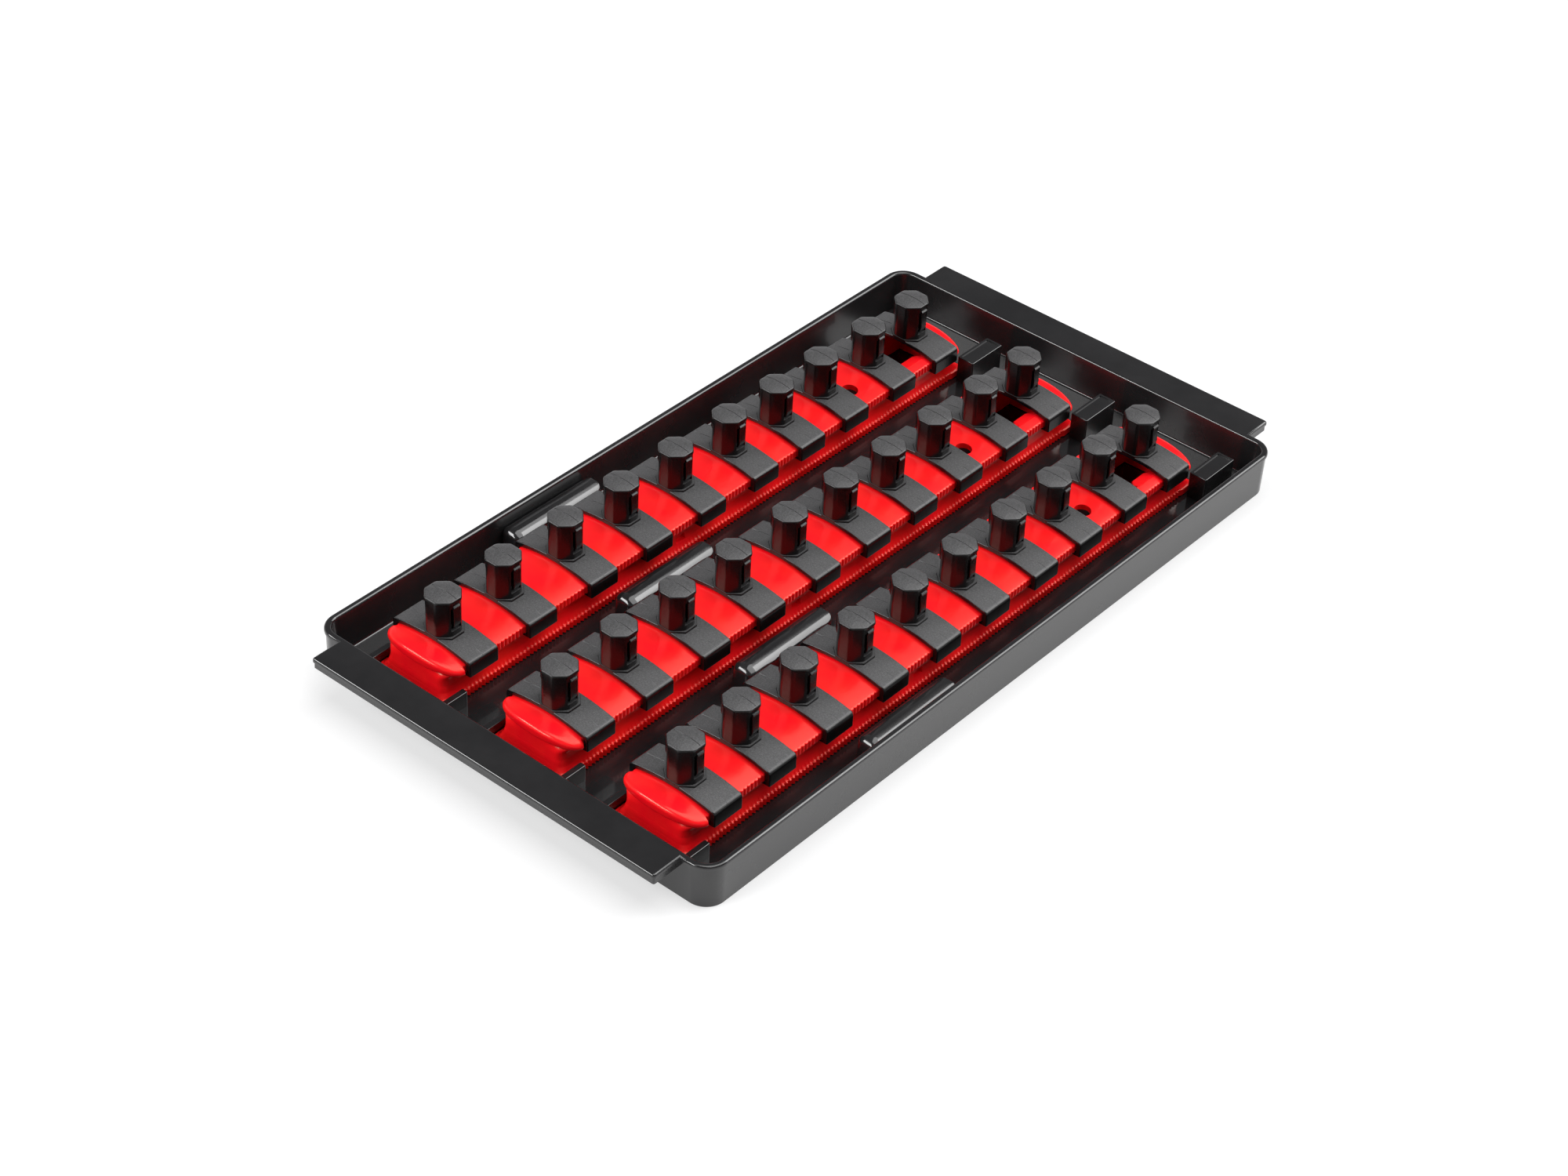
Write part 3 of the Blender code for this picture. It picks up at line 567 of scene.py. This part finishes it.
def railSection(s):
    # right half of the section at one station, from the base up to the crown
    r = rail
    px, py = s["p"]
    nx, ny = s["n"]
    k = s["nose"]
    web = s["web"]
    bead, comb = s["tooth"]
    footOut, footTop = r["footOut"] - comb, r["footTop"]
    foot = [(footOut - 0.12, r["base"]), (footOut, r["base"] + 0.12), (footOut, footTop - 0.3)]
    foot += [(footOut - 0.08, footTop - 0.1), (footOut - 0.28, footTop)]
    points = [(*web(out), z) for out, z in foot]
    # hollow flare from the foot up the web, with the slot sunk into it
    flareTop = r["flareTop"] - r["flareDrop"] * k
    height = flareTop - footTop
    inSlot = slot["near"] < py < slot["far"]
    levels = [footTop + rise for rise in (0.03, 0.4, 1.2)]
    levels += [slot["low"] - 0.1, slot["low"], slot["high"], slot["high"] + 0.1, flareTop - 0.4]
    for z in levels:
        turn = math.acos(1 - (z - footTop) / height)
        sunk = slot["depth"] if inSlot and slot["low"] <= z <= slot["high"] else 0.0
        out = min(r["footFlare"] * (1 - math.sin(turn)), footOut - 0.3) - sunk
        points.append((*web(out), z))
    px -= bead
    topRound, lowRound = between(r["topRound"], s["round"]), between(r["lowRound"], s["round"])
    filletHeight = between(r["filletHeight"], k)
    lipZ = r["overhangZ"] + r["lipRise"] * k * k
    # fillet from the web out to the plate's underside
    inX, inY = px - nx * lowRound, py - ny * lowRound
    flat = r["underFlat"] * (1 - min(1, 2 * k))
    qx, qy = web(0.0)
    midX, midY = inX + (qx - inX) * flat, inY + (qy - inY) * flat
    for u in (1.0, 0.75, 0.5, 0.25, 0.0):
        out, fall = math.sin(u * math.pi / 2), 1 - math.cos(u * math.pi / 2)
        points.append((midX + (qx - midX) * out, midY + (qy - midY) * out, lipZ - filletHeight * fall))
    # the plate's rounded edge
    for a in (math.radians(d) for d in (0, 30, 60, 90)):
        back = lowRound * (1 - math.sin(a))
        points.append((px - nx * back, py - ny * back, lipZ + lowRound * (1 - math.cos(a))))
    innerX = max(0.0, px - nx * topRound)
    rimZ = railTop(innerX) - r["rimSlope"] * (px - innerX)
    for a in (math.radians(d) for d in (0, 22.5, 45, 67.5)):
        back = topRound * (1 - math.cos(a))
        points.append((max(0.0, px - nx * back), py - ny * back, rimZ - topRound * (1 - math.sin(a))))
    # its cambered top
    baseX = max(0.0, s["p"][0] - nx * topRound - (r["toothInset"] if k == 0 else 0.0))
    innerY = py - ny * topRound
    for share in (1.0, 0.84, 0.67, 0.5, 0.33, 0.17):
        x = baseX * share
        points.append((x, innerY, railTop(x)))
    return points


def railBody():
    r = rail
    stations = endStations(r["nose"], r["noseDepth"], r["noseWeb"]) + trackStations()
    stations += endStations(r["tail"], r["tailDepth"], r["tailWeb"])[::-1]
    rings = []
    for s in stations:
        half = railSection(s)
        left = [(-x, y, z) for x, y, z in half[::-1]]
        rings.append(half + [(0, half[-1][1], railTop(0))] + left)
    bm = bmesh.new()
    skinRings(bm, rings, caps=False)
    return meshObject(bm, "railBody", weld=0.000002)


def cavity():
    r = rail
    half = r["webHalf"] - r["wall"]
    crown, radius = r["crown"] - r["plate"], r["archRadius"] - r["plate"]
    section = [(x, archHeight(x, crown, radius)) for x in steps(half, -half, 12)] + [(-half, 1.0), (half, 1.0)]
    bm = prism(section, r["noseWeb"] + r["wall"], r["tailWeb"] - r["wall"], along="y")
    return meshObject(bm, "railCavity")


def openings():
    # the round hole, and the window sunk a little below the plate
    w, r = window, hole["radius"]
    angles = [math.tau * i / 48 for i in range(48)]
    bm = prism([(hole["x"] + r * math.cos(a), hole["y"] + r * math.sin(a)) for a in angles], hole["low"], overRail)
    low = railTop(w["half"]) - w["cutDepth"]
    points = ringPoints(w["half"], w["length"] / 2, 1.0, 6)
    skinRings(bm, [[(x, w["centerY"] + y, z) for x, y in points] for z in (low, overRail)])
    return meshObject(bm, "railOpenings")


def lugs():
    # sprung tabs that reach into the window from both sides, sloping down to their tips
    w = window
    top = railTop(w["half"])
    bm = bmesh.new()
    for side in (-1, 1):
        plan = []
        for end in (-1, 1):
            y = w["centerY"] + end * w["lugLength"] / 2
            piece = [(w["half"] + 0.4, y), (w["lugTip"] + w["lugChamfer"], y), (w["lugTip"], y - end * w["lugChamfer"])]
            plan += piece[::-end]
        rings = []
        for drop in (w["lugThick"], 0.25, 0.07, 0.0):
            pull = 0.25 - drop if drop < 0.25 else 0.0
            ring = []
            for x, y in plan:
                inner = x + (pull if x < w["half"] else 0)
                share = (w["half"] - inner) / (w["half"] - w["lugTip"])
                drawnY = y - math.copysign(pull, y - w["centerY"])
                ring.append((side * inner, drawnY, top - 0.05 - w["lugDrop"] * share - drop))
            rings.append(ring)
        skinRings(bm, rings)
    return meshObject(bm, "railLugs")


def makeRailMesh():
    body = railBody()
    combine(body, cavity(), "DIFFERENCE")
    combine(body, openings(), "DIFFERENCE")
    combine(body, lugs(), "UNION")
    shadeSmooth(body, 35)
    mesh = body.data
    bpy.data.objects.remove(body, do_unlink=True)
    return mesh


railMesh = makeRailMesh()
for side, x in railX.items():
    obj = bpy.data.objects.new("rail_" + side + "_detail", railMesh)
    bpy.context.scene.collection.objects.link(obj)
    obj.location = (x * mm, 0, 0)
    dress(obj, railMaterial, "rail_" + side, "rail_" + side)
print("rails built:", len(railMesh.polygons), "faces each")


clip = {
    "near": -6.2, "far": 7.2, "half": 18.3, "innerHalf": 16.3, "crown": 20.6, "archRadius": 78.0,
    "underCrown": 19.1, "underRadius": 64.3, "shoulder": 1.7,
    "lipTop": 13.5, "lipLow": 12.5, "lipInner": 14.2, "lipRound": 0.35,
    "edge": 0.5, "seamAt": 0.4, "seamWidth": 0.12, "seamDepth": 0.045, "seamFrom": 11, "wingSeam": (-13.8, -9.0),
}
post = {
    "flats": 12.4, "top": 36.12, "inset": 0.2, "backInset": 1.1, "bodyCorner": 2.8,
    "dome": 0.75, "capSide": 1.3, "capRound": 0.45, "capCorner": 1.8, "capBevel": 0.15,
    "seamRise": 0.07, "seamHalf": 0.1, "capSeam": (-5.4, 5.7),
    "collar": 0.55, "collarCorner": 0.5, "collarRise": 0.35, "rooted": 0.8,
    "ledgeDrop": 3.0, "pocketHalf": 2.3, "pocketDepth": 1.7, "pocketLow": 22.9,
    "tongueHalf": 1.45, "tongueLength": 8.6, "tongueProud": 0.45,
    "finHalf": 2.1, "finProud": 0.55, "finThick": 1.1, "finLow": 26.5,
}


def octagon(flats):
    r = flats / 2 / math.cos(math.pi / 8)
    return [(r * math.cos((i + 0.5) * math.pi / 4), r * math.sin((i + 0.5) * math.pi / 4)) for i in range(8)]


def roundedOctagon(flats, radius, count=3):
    # octagon with rounded corners
    inner = octagon(flats - 2 * radius)
    points = []
    for i, (x, y) in enumerate(inner):
        for j in range(count + 1):
            a = math.radians(i * 45 + 45 * j / count)
            points.append((x + radius * math.cos(a), y + radius * math.sin(a)))
    return points


def cutBack(outline, limit):
    # flatten the -X side of an outline to a plane
    return [(max(x, -limit), y) for x, y in outline]


def saddleSection(sink=0.0):
    # C-shaped section, drawn in by a little where the mould's seam runs
    c = clip
    r = c["shoulder"]
    flat = c["half"] - r
    outer = []
    for x in steps(0, flat, 8):
        outer.append((x, archHeight(x, c["crown"], c["archRadius"]) - (sink if x > c["seamFrom"] else 0)))
    shoulderZ = outer[-1][1]
    right = outer + arc(flat - sink, shoulderZ - r, r, 78, 0, 5)
    lip = c["lipRound"]
    right += arc(c["half"] - sink - lip, c["lipLow"] + lip, lip, 0, -90, 2)
    right += [(c["lipInner"] + 0.3, c["lipLow"]), (c["lipInner"], c["lipLow"] + 0.3)]
    right += [(c["lipInner"], c["lipTop"]), (c["innerHalf"], c["lipTop"])]
    right += [(x, archHeight(x, c["underCrown"], c["underRadius"])) for x in steps(c["innerHalf"], 0, 8)]
    return right + [(-x, z) for x, z in right[-2:0:-1]]


def saddle():
    c = clip
    near, far, deep = c["seamAt"] - c["seamWidth"] / 2, c["seamAt"] + c["seamWidth"] / 2, c["seamDepth"]
    rings = []
    for y, sink in ((c["near"], 0), (near - 0.05, 0), (near, deep), (far, deep), (far + 0.05, 0), (c["far"], 0)):
        rings.append([(x, y, z) for x, z in saddleSection(sink)])
    bm = bmesh.new()
    skinRings(bm, rings)
    return softenEdges(meshObject(bm, "clipSaddle"), c["edge"], 3, 60)


def levelRings(outlines):
    bm = bmesh.new()
    skinRings(bm, [[(x, y, z) for x, y in outline] for outline, z in outlines])
    return bm


def postCore():
    p = post
    outline = roundedOctagon(p["flats"] - 2 * p["inset"], p["bodyCorner"], 4)
    outline = cutBack(outline, p["flats"] / 2 - p["backInset"])
    low, high = clip["crown"] - p["rooted"], p["top"] - p["dome"] - 0.4
    return meshObject(levelRings([(outline, low), (outline, high)]), "postCore")


def postCap():
    p = post
    r, corner, bevel = p["capRound"], p["capCorner"], p["capBevel"]
    edgeZ = p["top"] - p["dome"]
    low = edgeZ - p["capSide"]
    rings = [(roundedOctagon(p["flats"] - 2 * bevel, corner, 5), low)]
    rings.append((roundedOctagon(p["flats"], corner, 5), low + bevel))
    for inset, z in arc(r, edgeZ - r, r, 180, 100, 4):
        rings.append((roundedOctagon(p["flats"] - 2 * inset, corner, 5), z))
    for share in (0.8, 0.55, 0.3, 0.1):
        rings.append((roundedOctagon(p["flats"] * share, corner * share, 5), edgeZ + p["dome"] * (1 - share * share)))
    return meshObject(levelRings(rings), "postCap")


def seamRidge(line, rise, half):
    # fine raised line left by the mould, along points (x, z)
    at = clip["seamAt"]
    near, far = at - half, at + half
    rings = []
    for x, z in line:
        rings.append([(x, near, z - 0.3), (x, far, z - 0.3), (x, far, z), (x, at, z + rise), (x, near, z)])
    bm = bmesh.new()
    skinRings(bm, rings)
    return meshObject(bm, "seamRidge")


def capSeam():
    p = post
    edgeZ = p["top"] - p["dome"]
    line = [(x, edgeZ + p["dome"] * (1 - (2 * x / p["flats"]) ** 2)) for x in steps(*p["capSeam"], 10)]
    return seamRidge(line, p["seamRise"], p["seamHalf"])


def wingSeam():
    line = [(x, archHeight(x, clip["crown"], clip["archRadius"])) for x in steps(*clip["wingSeam"], 4)]
    return seamRidge(line, post["seamRise"], post["seamHalf"])


def postCollar():
    p = post
    out, base = p["collar"], clip["crown"]
    rings = []
    for grow, z in ((out, base - p["rooted"]), (out, base + 0.12), (out - 0.12, base + p["collarRise"])):
        outline = roundedOctagon(p["flats"] + 2 * grow, p["collarCorner"])
        rings.append(([(x, max(y, clip["near"] + 0.05)) for x, y in outline], z))
    return meshObject(levelRings(rings), "postCollar")


def pocket():
    p = post
    face = p["flats"] / 2
    top = p["top"] - p["dome"] - p["ledgeDrop"]
    half, back = p["pocketHalf"], face - p["pocketDepth"]
    plan = [(back, -half), (face + 1, -half), (face + 1, half), (back, half)]
    return meshObject(prism(plan, p["pocketLow"], top), "postPocket")


def tongue():
    # sprung tongue with a ledge at its root and a bulge near its tip
    p = post
    face = p["flats"] / 2
    top = p["top"] - p["dome"] - p["ledgeDrop"]
    tip = top - p["tongueLength"]
    proud = p["tongueProud"]
    section = [
        (face - 1.3, top + 1.0), (face - 1.3, top - 0.6), (face - 0.7, (top + tip) / 2), (face - 1.1, tip),
        (face - 0.55, tip), (face + proud * 0.7, tip + 1.6), (face + proud, tip + 2.8),
        (face + proud * 0.35, top - 2.2), (face - 0.05, top - 0.35), (face + proud, top - 0.15),
        (face + proud, top + 0.25), (face, top + 0.75),
    ]
    obj = meshObject(prism(section, -p["tongueHalf"], p["tongueHalf"], along="y"), "postTongue")
    return softenEdges(obj, 0.12, 2, 40)


def fin():
    # flat finger on the post's back
    p = post
    face = -p["flats"] / 2
    outer = face - p["finProud"]
    top = p["top"] - p["dome"] - p["capSide"]
    low = p["finLow"]
    section = [
        (face + 1.5, top + 0.7), (face, top + 0.7), (outer + 0.15, top + 0.25), (outer, top - 0.3), (outer, low + 1.3),
        (outer + 0.5, low), (outer + p["finThick"], low), (outer + p["finThick"], top - 0.9), (face + 1.5, top - 1.3),
    ]
    obj = meshObject(prism(section, -p["finHalf"], p["finHalf"], along="y"), "postFin")
    return softenEdges(obj, 0.15, 2, 40)


def makeClipMesh():
    body = saddle()
    for piece in (postCollar, postCore, postCap):
        combine(body, piece(), "UNION")
    combine(body, pocket(), "DIFFERENCE")
    for piece in (tongue, fin, capSeam, wingSeam):
        combine(body, piece(), "UNION")
    shadeSmooth(body, 32)
    mesh = body.data
    bpy.data.objects.remove(body, do_unlink=True)
    return mesh


clipMesh = makeClipMesh()
for side, x in railX.items():
    for number in range(1, 11):
        node = "clip_%s_%02d" % (side, number)
        low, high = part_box(node)
        obj = bpy.data.objects.new(node + "_detail", clipMesh)
        bpy.context.scene.collection.objects.link(obj)
        obj.location = (x * mm, low.y - clip["near"] * mm, 0)  # each clip stands where its solid does
        dress(obj, clipMaterial, node, node)
print("clips built:", len(clipMesh.polygons), "faces each")


studio = {
    "floorSize": 16.0, "floorColor": (0.80, 0.80, 0.80), "backgroundShare": 0.5,
    "horizon": (0.80, 0.80, 0.81), "above": (0.16, 0.16, 0.165), "fade": (0.04, 0.40), "worldStrength": 1.0,
}
lamps = [
    {"name": "topSoftbox", "at": (0.3, 0.35, 2.1), "size": (1.9, 2.2), "along": (1, 0, 0), "power": 42},
    {"name": "backSoftbox", "at": (0.88, 1.55, 1.46), "size": (1.95, 1.0), "along": (1, 0, -0.95), "power": 34},
    {"name": "frontSoftbox", "at": (-1.15, -1.70, 1.58), "size": (2.0, 0.75), "along": (0.85, -0.5, 0), "power": 58},
]


def makeFloor(s):
    bm = bmesh.new()
    half = s["floorSize"] / 2
    bm.faces.new([bm.verts.new((x, y, 0)) for x, y in ((-half, -half), (half, -half), (half, half), (-half, half))])
    floor = meshObject(bm, "floor")
    mat, tree, shader = newMaterial("paleFloor", s["floorColor"], 0.9)
    shader.inputs["Specular IOR Level"].default_value = 0.0
    # the camera and the gloss see a floor that is part white background, and it still takes the shadow
    path = tree.nodes.new("ShaderNodeLightPath")
    seen = tree.nodes.new("ShaderNodeMath")
    seen.operation = "MAXIMUM"
    tree.links.new(path.outputs["Is Camera Ray"], seen.inputs[0])
    tree.links.new(path.outputs["Is Glossy Ray"], seen.inputs[1])
    share = remap(tree, seen.outputs[0], 0, 1, 0, s["backgroundShare"])
    white = tree.nodes.new("ShaderNodeEmission")
    blend = tree.nodes.new("ShaderNodeMixShader")
    tree.links.new(share, blend.inputs[0])
    tree.links.new(shader.outputs[0], blend.inputs[1])
    tree.links.new(white.outputs[0], blend.inputs[2])
    tree.links.new(blend.outputs[0], tree.nodes["Material Output"].inputs["Surface"])
    floor.data.materials.append(mat)


def makeWorld(s):
    world = bpy.data.worlds.new("studio")
    bpy.context.scene.world = world
    world.use_nodes = True
    tree = world.node_tree
    back = tree.nodes["Background"]
    coords = tree.nodes.new("ShaderNodeTexCoord").outputs["Generated"]
    split = tree.nodes.new("ShaderNodeSeparateXYZ")
    tree.links.new(coords, split.inputs["Vector"])
    height = remap(tree, split.outputs["Z"], *s["fade"], 0, 1)
    tree.links.new(mixColors(tree, height, s["horizon"], s["above"]), back.inputs["Color"])
    back.inputs["Strength"].default_value = s["worldStrength"]


def makeLamp(lamp):
    # faces the middle of the part, its long side along the given direction
    data = bpy.data.lights.new(lamp["name"], "AREA")
    data.shape = "RECTANGLE"
    data.size, data.size_y = lamp["size"]
    data.energy = lamp["power"]
    obj = bpy.data.objects.new(lamp["name"], data)
    back = Vector(lamp["at"]).normalized()
    side = Vector(lamp["along"])
    side = (side - back * side.dot(back)).normalized()
    spin = Matrix((side, back.cross(side), back)).transposed().to_4x4()
    obj.matrix_world = Matrix.Translation(lamp["at"]) @ spin
    bpy.context.scene.collection.objects.link(obj)


makeFloor(studio)
makeWorld(studio)
for lamp in lamps:
    makeLamp(lamp)
bpy.context.scene.view_settings.view_transform = "Standard"
print("studio lit")
